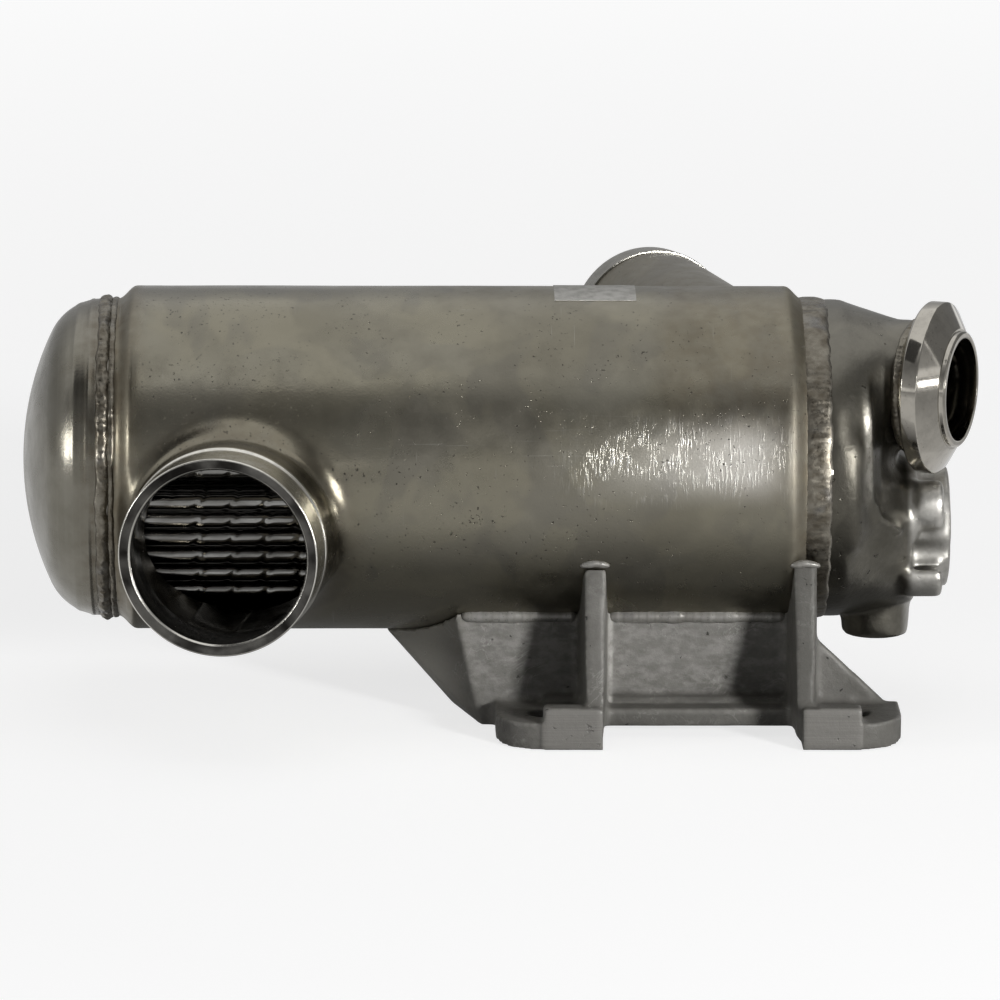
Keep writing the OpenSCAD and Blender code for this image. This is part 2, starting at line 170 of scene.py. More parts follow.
def barrel_material(ports):
    """Dull rolled stainless: blotches, fine pits, handling scratches, heat tint at the welds, a painted sheen
    on the front belt and painted shade inside the shell.
    """
    m = Mat("dull_stainless")
    blotch, cloud, grain = m.noise(70, 2), m.noise(11, 4, 0.55), m.noise(1.1, 3, 0.6)
    colour = m.mix(m.span(blotch, 0.3, 0.7), (0.197, 0.183, 0.142), (0.238, 0.225, 0.183))
    colour = m.mix(m.span(cloud, 0.35, 0.75, 0, 0.35), colour, (0.155, 0.144, 0.116))
    wiped = m.noise((46, 60, 30), 3, 0.45, 21, 0.6)
    colour = m.mix(m.span(wiped, 0.46, 0.56, 0, 0.55), colour, (0.25, 0.232, 0.178))
    dark_patch = m.span(m.noise((30, 50, 44), 3, 0.5, 23, 0.4), 0.52, 0.6, 0, 0.5)
    colour = m.mix(dark_patch, colour, (0.165, 0.156, 0.132))
    tint = m.math("MAXIMUM", m.span(m.x, BARREL_LEFT + 10, SHELL_LEFT), m.span(m.x, 33, 50))
    for port in ports:
        away = far_from_axis(m, port.row_origin(), tuple(port.ez))
        tint = m.math("MAXIMUM", tint, m.span(away, port.r + 15, port.r + 3, 0, 0.55))
    tint = m.product(tint, m.span(m.noise(6, 3), 0.3, 0.7, 0.35, 0.8))
    colour = m.mix(tint, colour, (0.135, 0.112, 0.078))
    front = m.span(m.y, 40, 15)
    belt = m.product(m.window(m.x, -66, 46, 26), m.window(m.z, 102, 149, 19), front)
    strokes = m.span(m.noise((0.95, 40, 8), 3, 0.55, 1, 0.3), 0.5, 0.64)
    strokes = m.product(strokes, m.span(m.noise((10, 40, 9), 2, 0.5, 4), 0.36, 0.6))
    scuff = m.product(belt, strokes)
    colour = m.mix(m.math("MULTIPLY", scuff, 0.8), colour, (0.5, 0.49, 0.46))
    # Painted sheen: the front belt's colour is made lighter towards the right, where the key lamp's gloss
    # falls.
    bright = m.product(belt, m.span(m.x, -70, 30))
    colour = m.mix(m.math("MULTIPLY", bright, 0.75), colour, (0.48, 0.465, 0.435))
    line = m.span(m.noise((0.9, 60, 30), 1, 0.4, 9, 0.5), 0.735, 0.79)
    slant = m.span(m.noise((34, 22, 0.9), 1, 0.4, 5, 0.8), 0.74, 0.8)
    marks = m.product(m.math("MAXIMUM", line, slant), m.span(m.noise(38, 2, 0.5, 13), 0.48, 0.6))
    colour = m.mix(m.math("MULTIPLY", marks, 0.4), colour, (0.4, 0.39, 0.36))
    sown = m.span(m.noise(26, 2, 0.5, 17), 0.42, 0.58)
    by_bonnet = m.product(m.span(m.x, -150, -195), m.window(m.z, 128, 176, 16), front)
    sown = m.math("MAXIMUM", sown, by_bonnet)
    pits = m.product(m.span(m.noise(1.7, 2, 0.6, 2), 0.66, 0.72), sown)
    colour = m.mix(m.math("MULTIPLY", pits, 0.8), colour, (0.05, 0.045, 0.04))
    spots = m.product(m.span(m.noise(4.2, 3, 0.65, 31), 0.685, 0.74),
                      m.span(m.noise(45, 1, 0.5, 33), 0.45, 0.6))
    colour = m.mix(m.math("MULTIPLY", spots, 0.75), colour, (0.06, 0.052, 0.042))
    # Painted shade: the inside of the shell, seen through the ports, is made near black.
    within = m.span(far_from_axis(m, (0, SET_BACK, AXIS_H), (1, 0, 0)), SHELL_R - 1.2, SHELL_R - 2.2)
    within = m.product(within, m.window(m.x, SHELL_LEFT + 12, SHELL_RIGHT - 12, 2))
    colour = m.mix(within, colour, (0.04, 0.037, 0.032))
    rough = m.math("ADD", m.span(cloud, 0.25, 0.8, 0.22, 0.34), m.span(wiped, 0.4, 0.6, 0.05, 0))
    swages = m.span(m.x, 37, 41, 0, 0.2), m.span(m.x, -243, -249, 0, 0.16)
    for more in (m.span(m.x, -190, -90, -0.1, 0.03), m.math("MULTIPLY", bright, 0.22), *swages):
        rough = m.math("ADD", rough, more)
    normal = m.bump(grain, 0.035)
    normal = m.bump(m.math("ADD", pits, m.math("MULTIPLY", scuff, -0.6)), -0.16, normal)
    normal = m.bump(cloud, 0.12, normal)
    return m.finish(colour, rough, normal)


def head_material():
    """Pressed head: satin, with faint draw lines round the axis."""
    m = Mat("satin_pressed")
    away = far_from_axis(m, (0, SET_BACK, AXIS_H), (1, 0, 0))
    cloud, grain = m.noise(14, 4, 0.55, 3), m.noise(0.9, 3, 0.6)
    colour = m.mix(m.span(cloud, 0.3, 0.72), (0.225, 0.214, 0.182), (0.18, 0.17, 0.14))
    tint = m.product(m.span(m.x, SHEET_LEFT - 15, SHEET_LEFT - 1),
                     m.span(m.noise(5, 3), 0.3, 0.7, 0.3, 0.9))
    colour = m.mix(tint, colour, (0.125, 0.108, 0.082))
    rings = m.node("ShaderNodeTexNoise", noise_dimensions="2D")
    pair = m.node("ShaderNodeCombineXYZ")
    m.feed(pair.inputs[0], m.math("MULTIPLY", m.x, 0.9))
    m.feed(pair.inputs[1], m.math("MULTIPLY", away, 0.9))
    m.feed(rings.inputs["Vector"], pair.outputs[0])
    rings.inputs["Scale"].default_value = 1
    colour = m.mix(m.span(rings.outputs[0], 0.5, 0.8, 0, 0.12), colour, (0.3, 0.29, 0.26))
    rough = m.span(cloud, 0.25, 0.8, 0.2, 0.3)
    normal = m.bump(rings.outputs[0], 0.015)
    normal = m.bump(grain, 0.04, normal)
    normal = m.bump(cloud, 0.15, normal)
    return m.finish(colour, rough, normal)


def turned_material(name, origin, direction, light, rough_at, dull=None):
    """Bright turned steel: tool lines round the piece's own axis, light stains.

    dull is the grimy end face: its inner and outer radius, and where it starts along the axis; inside it, the
    bore is painted dark as shade."""
    m = Mat(name)
    away = far_from_axis(m, origin, direction)
    along = m.node("ShaderNodeVectorMath", operation="DOT_PRODUCT")
    m.feed(along.inputs[0], m.p)
    along.inputs[1].default_value = direction
    pair = m.node("ShaderNodeCombineXYZ")
    m.feed(pair.inputs[0], m.math("MULTIPLY", along.outputs["Value"], 3.2))
    m.feed(pair.inputs[1], m.math("MULTIPLY", away, 3.2))
    lines = m.node("ShaderNodeTexNoise", noise_dimensions="2D")
    m.feed(lines.inputs["Vector"], pair.outputs[0])
    lines.inputs["Scale"].default_value = 1
    lines.inputs["Detail"].default_value = 2
    stain = m.noise(7, 4, 0.6, 6)
    dark = tuple(0.72 * c for c in light)
    colour = m.mix(m.span(stain, 0.4, 0.75, 0, 0.7), light, dark)
    colour = m.mix(m.span(m.noise(1.6, 2, 0.5, 8), 0.66, 0.74, 0, 0.5), colour, (0.16, 0.14, 0.11))
    if dull:
        inner, outer, start = dull
        face = m.product(m.window(away, inner, outer, 0.3),
                         m.span(along.outputs["Value"], start, start + 0.4))
        grime = m.product(face, m.span(m.noise(16, 3, 0.5, 2), 0.3, 0.7, 0.82, 1.0))
        colour = m.mix(grime, colour, (0.012, 0.011, 0.01))
        # Painted shade: inside the bore the colour is made near black.
        bore = m.span(away, inner - 0.5, inner - 0.8, 0, 0.9)
        colour = m.mix(bore, colour, (0.035, 0.032, 0.028))
    rough = m.span(stain, 0.3, 0.8, rough_at, 1.7 * rough_at)
    normal = m.bump(lines.outputs[0], 0.04 * rough_at)
    normal = m.bump(stain, 0.1 * rough_at, normal)
    return m.finish(colour, rough, normal)


def tube_material():
    """Drawn tube, darkened, with a little scale."""
    m = Mat("drawn_tube")
    cloud = m.noise((18, 4, 4), 4, 0.55, 2)
    colour = m.mix(m.span(cloud, 0.3, 0.75), (0.3, 0.296, 0.285), (0.17, 0.166, 0.155))
    rough = m.span(cloud, 0.3, 0.8, 0.1, 0.2)
    return m.finish(colour, rough, m.bump(m.noise((5, 0.5, 0.5), 2), 0.02))


def plate_material():
    m = Mat("plain_plate")
    cloud, grain = m.noise(16, 4, 0.55, 5), m.noise(0.8, 3)
    colour = m.mix(m.span(cloud, 0.3, 0.75), (0.3, 0.285, 0.25), (0.19, 0.175, 0.145))
    rough = m.span(cloud, 0.3, 0.8, 0.34, 0.5)
    return m.finish(colour, rough, m.bump(grain, 0.04))


def cast_material(name, light, dark, rough_at, seed, edge, relief, metallic, shine, finish):
    """Cast surface: orange-peel skin, small pits, edges scuffed bright, and painted shade in the hollows.

    edge is how bright the scuffed edges are, relief how coarse the skin is; finish adds the stains, painted
    highlights and painted shade."""
    m = Mat(name)
    cloud, peel = m.noise(24, 4, 0.55, seed), m.noise(2.4, 3, 0.55, seed)
    skin = m.noise(0.7, 3, 0.6, seed)
    colour = m.mix(m.span(cloud, 0.3, 0.72), light, dark)
    colour = m.mix(m.span(peel, 0.35, 0.75, 0, 0.3), colour, tuple(0.75 * c for c in dark))
    point = m.node("ShaderNodeNewGeometry").outputs["Pointiness"]
    rub = m.product(m.span(point, 0.515, 0.56), m.span(m.noise(5, 3, 0.6, seed + 2), 0.35, 0.65, 0.3, 1))
    colour = m.mix(m.math("MULTIPLY", rub, edge), colour, tuple(min(1, 1.9 * c) for c in light))
    # Painted shade: where the surface curves in, the colour is made darker.
    hollow = m.span(point, 0.49, 0.44)
    colour = m.mix(m.math("MULTIPLY", hollow, 0.45), colour, tuple(0.4 * c for c in dark))
    pits = m.span(m.noise(3.4, 2, 0.5, seed + 4), 0.7, 0.76)
    colour = m.mix(m.math("MULTIPLY", pits, 0.7), colour, tuple(0.25 * c for c in dark))
    rough = m.span(cloud, 0.25, 0.8, rough_at, rough_at + 0.12)
    rough = m.math("SUBTRACT", rough, m.math("MULTIPLY", rub, 0.1))
    colour, rough = finish(m, colour, rough)
    normal = m.bump(skin, 0.05 * relief)
    normal = m.bump(peel, 0.12 * relief, normal)
    normal = m.bump(pits, -0.25 * relief, normal)
    return m.finish(colour, rough, normal, metallic, Specular_IOR_Level=shine)


def header_finish_and_painted_light(m, colour, rough):
    """The outlet flange is machined bright, painted darker towards its bottom as shade; soot and heat have
    stained the chambers. A painted highlight runs down the ridge, the top is painted lighter and the lower
    skirt painted darker as shade.
    """
    stain = m.noise((26, 26, 40), 4, 0.55, 41, 0.5)
    colour = m.mix(m.span(stain, 0.48, 0.66, 0, 0.5), colour, (0.2, 0.188, 0.155))
    # Painted highlight: a pale band down the ridge on the front of the chambers.
    painted_ridge_highlight = m.product(m.window(m.x, 70.5, 77.5, 3), m.window(m.z, 98, 156, 24), m.span(m.y, 50, 30))
    painted_ridge_highlight = m.product(painted_ridge_highlight, m.span(m.noise(4, 3, 0.6, 47), 0.3, 0.6, 0.2, 0.75))
    colour = m.mix(painted_ridge_highlight, colour, (0.46, 0.44, 0.39))
    # Painted light: the top of the header is made lighter.
    colour = m.mix(m.span(m.z, 150, 172, 0, 0.5), colour, (0.21, 0.2, 0.172))
    # Painted shade: the lower skirt of the header is made darker.
    skirt = m.product(m.span(m.x, 72, 62), m.span(m.z, 150, 130))
    colour = m.mix(m.math("MULTIPLY", skirt, 0.5), colour, (0.06, 0.056, 0.046))
    flange = m.product(m.span(m.x, 92, 96), m.span(m.z, 128, 122))
    flange_tone_and_shade = m.mix(m.span(m.noise(6, 4, 0.6, 43), 0.35, 0.7), (0.57, 0.555, 0.52), (0.4, 0.39, 0.36))
    # Painted shade: the flange's machined colour is made darker towards its bottom.
    flange_tone_and_shade = m.mix(m.span(m.z, 92, 78, 0, 0.65), flange_tone_and_shade, (0.22, 0.214, 0.197))
    return m.mix(flange, colour, flange_tone_and_shade), m.math("ADD", rough, m.math("MULTIPLY", flange, 0.1))


def bracket_finish_and_painted_light(m, colour, rough):
    """Pale veins on the webs, painted highlights along the web fillets, painted shade on the ribs and sill,
    painted light on the left end, darker towards the right, grime low down, milled pads.
    """
    vein = m.math("ABSOLUTE", m.math("SUBTRACT", m.noise(17, 4, 0.6, 51, 1.2), 0.5))
    vein = m.product(m.span(vein, 0.016, 0.002), m.span(m.noise(22, 2, 0.5, 53), 0.45, 0.62))
    colour = m.mix(m.math("MULTIPLY", vein, 0.5), colour, (0.36, 0.352, 0.33))
    web = m.product(m.window(m.y, 18, 24, 1.5), m.span(m.z, 10, 14))
    mottle = m.span(m.noise((7, 7, 4), 5, 0.65, 55), 0.4, 0.66, 0, 0.55)
    colour = m.mix(m.product(web, mottle), colour, (0.3, 0.292, 0.275))
    colour = m.mix(m.span(m.x, 20, 85, 0, 0.38), colour, (0.07, 0.067, 0.06))
    grime = m.product(m.span(m.z, 20, 16), m.span(m.noise(14, 4, 0.6, 59), 0.3, 0.7, 0.15, 0.5))
    colour = m.mix(grime, colour, (0.08, 0.077, 0.07))
    # Painted light: the nose at the bracket's left end is made lighter.
    colour = m.mix(m.span(m.x, -95, -120, 0, 0.8), colour, (0.42, 0.405, 0.365))
    # Painted shade: the ribs are made darker, the right one more.
    painted_rib_shade = m.math("MAXIMUM", m.window(m.x, -53, -39, 2), m.product(m.window(m.x, 39, 53, 2), 1.9))
    painted_rib_shade = m.product(painted_rib_shade, m.span(m.z, 12, 17), 0.26)
    colour = m.mix(painted_rib_shade, colour, (0.05, 0.048, 0.042))
    # Painted shade: the sill below the web is made darker.
    painted_sill_shade = m.product(m.window(m.x, -41, 41, 3), m.span(m.z, 11, 9), m.span(m.y, 26, 22))
    colour = m.mix(m.math("MULTIPLY", painted_sill_shade, 0.28), colour, (0.05, 0.048, 0.042))
    # Painted highlight: pale lines along the fillets at the web's bottom and left edge.
    painted_fillet_highlight = m.math("MAXIMUM", m.window(m.x, -40.5, -36.5, 1.6), m.window(m.z, 8.8, 13.2, 1.8))
    painted_fillet_highlight = m.product(painted_fillet_highlight, m.window(m.x, -41, 39, 1), m.window(m.y, 12, 24, 2))
    painted_fillet_highlight = m.product(painted_fillet_highlight, m.span(m.noise(6, 3, 0.6, 61), 0.35, 0.6, 0.25, 0.8))
    colour = m.mix(painted_fillet_highlight, colour, (0.4, 0.39, 0.365))
    pad = m.span(m.y, -21.2, -21.7)
    milled = m.span(m.noise((40, 9, 0.35), 3, 0.6, 57), 0.35, 0.7)
    colour = m.mix(pad, colour, m.mix(milled, (0.172, 0.166, 0.153), (0.205, 0.198, 0.183)))
    return colour, m.math("SUBTRACT", rough, m.math("MULTIPLY", pad, 0.12))


def weld_material(name, light, dark, metallic=1.0):
    """Weld metal: straw, brown and blue heat tint, painted highlights on the ripple crests and painted shade
    in the hollows.
    """
    m = Mat(name)
    cloud, fleck = m.noise(7, 4, 0.6, 7), m.noise(1.5, 3, 0.6, 3)
    colour = m.mix(m.span(cloud, 0.3, 0.7), light, dark)
    colour = m.mix(m.span(m.noise(13, 3, 0.5, 11), 0.55, 0.75, 0, 0.5), colour, (0.14, 0.142, 0.15))
    point = m.node("ShaderNodeNewGeometry").outputs["Pointiness"]
    # Painted highlights on the bead's crests, and painted shade in its hollows.
    colour = m.mix(m.span(point, 0.52, 0.6, 0, 0.6), colour, (0.42, 0.4, 0.36))
    colour = m.mix(m.span(point, 0.48, 0.42, 0, 0.75), colour, (0.05, 0.042, 0.032))
    rough = m.span(fleck, 0.3, 0.75, 0.26, 0.5)
    return m.finish(colour, rough, m.bump(fleck, 0.1), metallic)


def label_material():
    """Blank paper label, greyed by handling."""
    m = Mat("blank_label")
    cloud = m.noise(5, 4, 0.6, 4)
    colour = m.mix(m.span(cloud, 0.35, 0.75), (0.5, 0.49, 0.46), (0.3, 0.29, 0.265))
    return m.finish(colour, 0.6, m.bump(m.noise(0.5, 3), 0.03), metallic=0.0)


# ---- meshes -------------------------------------------------------------------------------------
def to_row(p):
    """Point of the shell's own plane, height from the shell axis, into the row frame in metres."""
    return (p[0] * MM, (p[1] + SET_BACK) * MM, (p[2] + AXIS_H) * MM)


def make(name, verts, faces, material, slot, nodes=(), weld=0.0, sharp=38):
    bm = bmesh.new()
    made = [bm.verts.new(to_row(v)) for v in verts]
    for f in faces:
        try:
            bm.faces.new([made[i] for i in f])
        except ValueError:
            pass
    if weld:
        bmesh.ops.remove_doubles(bm, verts=bm.verts, dist=weld * MM)
        loose = [v for v in bm.verts if not v.link_faces]
        bmesh.ops.delete(bm, geom=loose, context="VERTS")
    bmesh.ops.recalc_face_normals(bm, faces=bm.faces)
    mesh = bpy.data.meshes.new(name)
    bm.to_mesh(mesh)
    bm.free()
    mesh.shade_smooth()
    mesh.set_sharp_from_angle(angle=math.radians(sharp))
    obj = bpy.data.objects.new(name, mesh)
    bpy.context.scene.collection.objects.link(obj)
    return dress(obj, material, slot, nodes)


def dress(obj, material, slot, nodes=()):
    obj.data.materials.clear()
    obj.data.materials.append(material)
    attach(obj, "root")
    if nodes:
        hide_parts(*nodes)
    return obj


def rings_to_faces(rows, n, closed_rows=True):
    """Quads between consecutive rings of n points; closed_rows joins the last ring to the first."""
    faces = []
    for i in range(rows if closed_rows else rows - 1):
        k = (i + 1) % rows
        for j in range(n):
            faces.append((i * n + j, i * n + (j + 1) % n, k * n + (j + 1) % n, k * n + j))
    return faces


def soften(points, size, steps=3):
    """Rounds the corners of a closed profile; size is one value or one per corner."""
    out = []
    count = len(points)
    sizes = size if isinstance(size, (list, tuple)) else [size] * count
    for i, p in enumerate(points):
        a, b = Vector(points[i - 1]), Vector(points[(i + 1) % count])
        p = Vector(p)
        da, db = a - p, b - p
        cut = min(sizes[i], 0.45 * da.length, 0.45 * db.length)
        start, end = p + da.normalized() * cut, p + db.normalized() * cut
        for k in range(steps + 1):
            t = k / steps
            out.append(tuple(start * (1 - t) ** 2 + p * 2 * t * (1 - t) + end * t * t))
    return out


def revolve(profile, place, n):
    """Rings of a closed profile [radius, along], set in the part by place(radius, angle, along)."""
    verts = [place(r, 2 * math.pi * j / n, z) for r, z in profile for j in range(n)]
    return verts, rings_to_faces(len(profile), n)


def on_shell(x0, sign=1):
    return lambda r, a, z: (x0 + sign * z, r * math.cos(a), r * math.sin(a))


def on_gas_inlet(r, a, z):
    c, s = math.cos(GAS_IN_TURN), math.sin(GAS_IN_TURN)
    lx, ly = r * math.cos(a), r * math.sin(a)
    return (GAS_IN[0] + z * c + ly * s, GAS_IN[1] - z * s + ly * c, GAS_IN[2] - lx)


def barrel_r(x):
    x = np.asarray(x, float)
    k = np.minimum((x - SHELL_LEFT - LIP) / SWAGE, (SHELL_RIGHT - LIP - x) / SWAGE)
    return NECK_R + (SHELL_R - NECK_R) * (1 - np.cos(np.pi * np.clip(k, 0, 1))) / 2


class Port:
    """A coolant port: side 1 is the front one, side -1 the rear one, turned over."""

    spokes = 160

    def __init__(self, x, off, lean, side, od, bore, seat, length, fillet):
        c, s = math.cos(math.radians(lean)), math.sin(math.radians(lean))
        self.o = np.array([x, 0.0, off])
        self.ex = np.array([c, -side * s, 0.0])
        self.ey = np.array([0.0, 0.0, side])
        self.ez = np.array([-s, -side * c, 0.0])
        self.r, self.bore, self.seat, self.length = od / 2, bore, seat, length
        self.hole = bore / 2 + 0.8
        self.phi = np.linspace(0, 2 * np.pi, self.spokes, endpoint=False)
        room = (SHELL_R - 0.5 - abs(off)) / np.maximum(-np.sin(self.phi), 0.01) - self.r
        self.g = np.minimum(fillet, room)

    def row_origin(self):
        return (self.o[0], SET_BACK, self.o[2] + AXIS_H)

    def face(self):
        """Inner and outer radius of the ring's end face, and where it starts along the port axis."""
        start = float(np.dot(self.row_origin(), self.ez)) + self.seat + self.length - 1.4
        return (self.bore / 2 + 0.75, self.r - 0.45, start)

    def point(self, a, b, h):
        a, b, h = np.broadcast_arrays(a, b, h)
        return self.o + a[..., None] * self.ex + b[..., None] * self.ey + h[..., None] * self.ez

    def place(self, r, angle, z):
        return tuple(self.point(r * math.cos(angle), r * math.sin(angle), z))

    def reach(self, a, b, inset):
        height = self.o[2] + b * self.ey[2]
        h = np.full_like(a, 70.0)
        for _ in range(14):
            r = barrel_r(self.o[0] + a * self.ex[0] + h * self.ez[0]) - inset
            y = np.sqrt(np.maximum(r * r - height * height, 1.0)) * np.sign(self.ez[1])
            h = (y - a * self.ex[1]) / self.ez[1]
        return h

    def ring(self, q, lift, inset=0.0):
        a, b = q * np.cos(self.phi), q * np.sin(self.phi)
        return self.point(a, b, self.reach(a, b, inset) + lift)

    def flat_ring(self, q):
        return self.point(q * np.cos(self.phi), q * np.sin(self.phi), np.full(self.spokes, self.seat))

    def inside(self, points, edge):
        """Which points of the barrel lie within the port's outline; edge is its radius by angle."""
        rel = points - self.o
        a, b = rel @ self.ex, rel @ self.ey
        limit = np.interp(np.arctan2(b, a) % (2 * np.pi), self.phi, edge, period=2 * np.pi)
        return (np.hypot(a, b) < limit) & (rel @ self.ez > 0)


INLET = Port(x=BARREL_LEFT + 56.2, off=-19.6, lean=9.0, side=1, od=87.2, bore=76.8,
             seat=94.5, length=22.0, fillet=10.5)
OUTLET = Port(x=10.5, off=40.0, lean=15.0, side=-1, od=70.0, bore=58.0,
              seat=98.0, length=14.0, fillet=10.0)
PORTS = (INLET, OUTLET)


def barrel_skin(inset, loops, edges, step, around):
    """Triangles of the barrel surface between the ends and round the ports' outlines."""
    fine = [SHELL_LEFT, SHELL_LEFT + LIP] + [SHELL_LEFT + LIP + SWAGE * i / 7 for i in range(1, 8)]
    mid = np.linspace(BARREL_LEFT, BARREL_RIGHT, int((BARREL_RIGHT - BARREL_LEFT) / step))[1:-1]
    right = [BARREL_RIGHT + SWAGE * i / 7 for i in range(8)] + [SHELL_RIGHT]
    xs = np.array(fine + list(mid) + right)
    theta = np.linspace(0, 2 * np.pi, around + 1)
    gx, gt = [a.ravel() for a in np.meshgrid(xs, theta, indexing="ij")]

    def lift(x, t):
        r = barrel_r(x) - inset
        return np.stack([x, r * np.cos(t + SEAM), r * np.sin(t + SEAM)], 1)

    grid = lift(gx, gt)
    keep = np.ones(len(gx), bool)
    for port, edge in zip(PORTS, edges):
        keep &= ~port.inside(grid, edge + 1.3)
    flat = list(zip(gx[keep], gt[keep] * SHELL_R))
    rims = []
    for loop in loops:
        t = (np.arctan2(loop[:, 2], loop[:, 1]) - SEAM) % (2 * np.pi)
        first = len(flat)
        flat += list(zip(loop[:, 0], t * SHELL_R))
        rims += [(first + i, first + (i + 1) % len(loop)) for i in range(len(loop))]
    verts, _, faces, *_ = delaunay_2d_cdt([Vector(v) for v in flat], rims, [], 0, 1e-5)
    flat = np.array([tuple(v) for v in verts])
    solid = lift(flat[:, 0], flat[:, 1] / SHELL_R)
    tri = np.array(faces)
    centre = solid[tri].mean(1)
    drop = np.zeros(len(tri), bool)
    for port, edge in zip(PORTS, edges):
        drop |= port.inside(centre, edge - 0.03)
    return solid, tri[~drop]


def shell_mesh():
    verts, faces = [], []

    def add(points, polys):
        base = len(verts)
        verts.extend(map(tuple, points))
        faces.extend(tuple(int(i) + base for i in f) for f in polys)

    def strip(loops):
        n = len(loops[0])
        add(np.concatenate(loops), rings_to_faces(len(loops), n, False))

    around = 230
    fillets = [[p.ring(p.r + p.g * (1 - math.sin(t)), p.g * (1 - math.cos(t)))
                for t in np.radians(np.linspace(0, 90, 15))] for p in PORTS]
    add(*barrel_skin(0.0, [f[0] for f in fillets], [p.r + p.g for p in PORTS], 3.4, around))
    edges = [np.full(p.spokes, p.hole) for p in PORTS]
    holes = [p.ring(edge, 0.0, SHELL_WALL) for p, edge in zip(PORTS, edges)]
    add(*barrel_skin(SHELL_WALL, holes, edges, 8.0, around))
    for port, fillet, hole in zip(PORTS, fillets, holes):
        strip(fillet + [port.flat_ring(port.r), port.flat_ring(port.hole), hole])
    t = np.linspace(0, 2 * np.pi, around + 1)[:-1] + SEAM
    for x in (SHELL_LEFT, SHELL_RIGHT):
        strip([np.stack([np.full(around, x), r * np.cos(t), r * np.sin(t)], 1)
               for r in (NECK_R, NECK_R - SHELL_WALL)])
    out = []
    for v in verts:
        wave = noise.noise(Vector(v) / 46) * 0.16 + noise.noise(Vector(v) / 19) * 0.05
        r = math.hypot(v[1], v[2])
        fade = min(1.0, max(0.0, (v[0] - SHELL_LEFT - 4) / 20), max(0.0, (SHELL_RIGHT - 4 - v[0]) / 20))
        k = 1 + wave * fade / r
        out.append((v[0], v[1] * k, v[2] * k))
    return out, faces


def bonnet_mesh():
    knuckle, crown, skirt, wall = 25.5, 130.0, 1.5, 2.5
    k = NECK_R - knuckle
    depth = math.sqrt((crown - knuckle) ** 2 - k * k)
    turn = math.asin(k / (crown - knuckle))

    def press_rings(z):
        return 0.4 * math.exp(-((z - 6.2) / 0.9) ** 2) + 0.3 * math.exp(-((z - 12.3) / 1.3) ** 2)

    def curve(inset, ringed):
        pts = [(NECK_R - inset, z) for z in (0.0, skirt)]
        for i in range(1, 41):
            b = (math.pi / 2 - turn) * i / 40
            r = knuckle - inset
            pts.append((k + r * math.cos(b), skirt + r * math.sin(b)))
        for i in range(1, 31):
            a = turn * (1 - i / 30)
            r = crown - inset
            pts.append((max(r * math.sin(a), 0.02), skirt - depth + r * math.cos(a)))
        if ringed:
            pts = [(r + press_rings(z) if r > 40 else r, z) for r, z in pts]
        return pts

    profile = curve(0, True) + curve(wall, False)[::-1]
    return revolve(profile, on_shell(SHEET_LEFT, -1), 200)


def weld_ring(place, r, width, height, pitch, ripple, wild, seed, stray=1.0):
    """Closed bead with crescent ripples: place(radius, angle, along) sets it on its cylinder.

    wild is how uneven the bead is, stray how far its edges wander."""
    length = 2 * math.pi * r
    count = int(length / 0.55)
    pitch = length / round(length / pitch)
    across = 10
    verts = []
    for i in range(count):
        s = length * i / count
        a = 2 * math.pi * i / count
        turn = Vector((math.cos(a) * r / 9, math.sin(a) * r / 9, seed * 3.7))
        shift = noise.noise(turn) * wild * stray * width * 0.1
        w = width * (1 + wild * stray * 0.16 * noise.noise(turn * 1.7 + Vector((5, 0, 0))))
        h = height * (1 + wild * 0.22 * noise.noise(turn * 1.3 + Vector((0, 9, 0))))
        for j in range(across + 1):
            t = 2 * j / across - 1
            phase = (s / pitch + 0.42 * t * t + 0.2 * noise.noise(turn * 2)) % 1.0
            step = (1 - phase) if phase > 0.12 else phase / 0.12
            lump = 0.1 * noise.noise(turn * 9 + Vector((0, 0, 2.2 * t)))
            lump += 0.2 * noise.noise(turn * 3.1 + Vector((4, 0, 1.3 * t)))
            up = h * max(0, 1 - t * t) ** 0.62 * (1 - ripple + ripple * step)
            up += wild * height * lump * (1 - t * t)
            verts.append(place(r - 0.1 + up, a, shift + t * w / 2))
        verts.append(place(r - 0.9, a, shift + w / 2))
        verts.append(place(r - 0.9, a, shift - w / 2))
    n = across + 3
    return verts, rings_to_faces(count, n)


def weld_line(points, radius, pitch, seed, taper):
    """Rounded bead along a polyline, drawn out over the length taper at both ends."""
    points = [Vector(p) for p in points]
    gaps = [(b - a).length for a, b in zip(points, points[1:])]
    total = sum(gaps)
    count = int(total / 0.6) + 2
    sides = 16
    verts = []

    def at(s):
        for a, b, g in zip(points, points[1:], gaps):
            if s <= g:
                return a + (b - a) * (s / g), (b - a).normalized()
            s -= g
        return points[-1], (points[-1] - points[-2]).normalized()

    for i in range(count):
        s = total * i / (count - 1)
        p, d = at(s)
        end = min(1.0, (min(s, total - s) + 0.15) / taper)
        phase = (s / pitch + 0.2 * noise.noise(p / 5)) % 1.0
        r = radius * math.sqrt(end * (2 - end)) * (0.95 + 0.05 * (1 - phase))
        r *= 1 + 0.2 * noise.noise(p / 6 + Vector((seed, 0, 0)))
        side = d.cross(Vector((0, 0, 1)))
        side = side.normalized() if side.length > 0.01 else Vector((1, 0, 0))
        up = side.cross(d)
        for j in range(sides):
            a = 2 * math.pi * j / sides
            verts.append(tuple(p + r * (side * math.cos(a) + up * math.sin(a))))
    faces = rings_to_faces(count, sides, False)
    faces += [tuple(range(sides - 1, -1, -1)), tuple(range((count - 1) * sides, count * sides))]
    return verts, faces


def join(parts):
    verts, faces = [], []
    for v, f in parts:
        base = len(verts)
        verts += v
        faces += [tuple(i + base for i in poly) for poly in f]
    return verts, faces


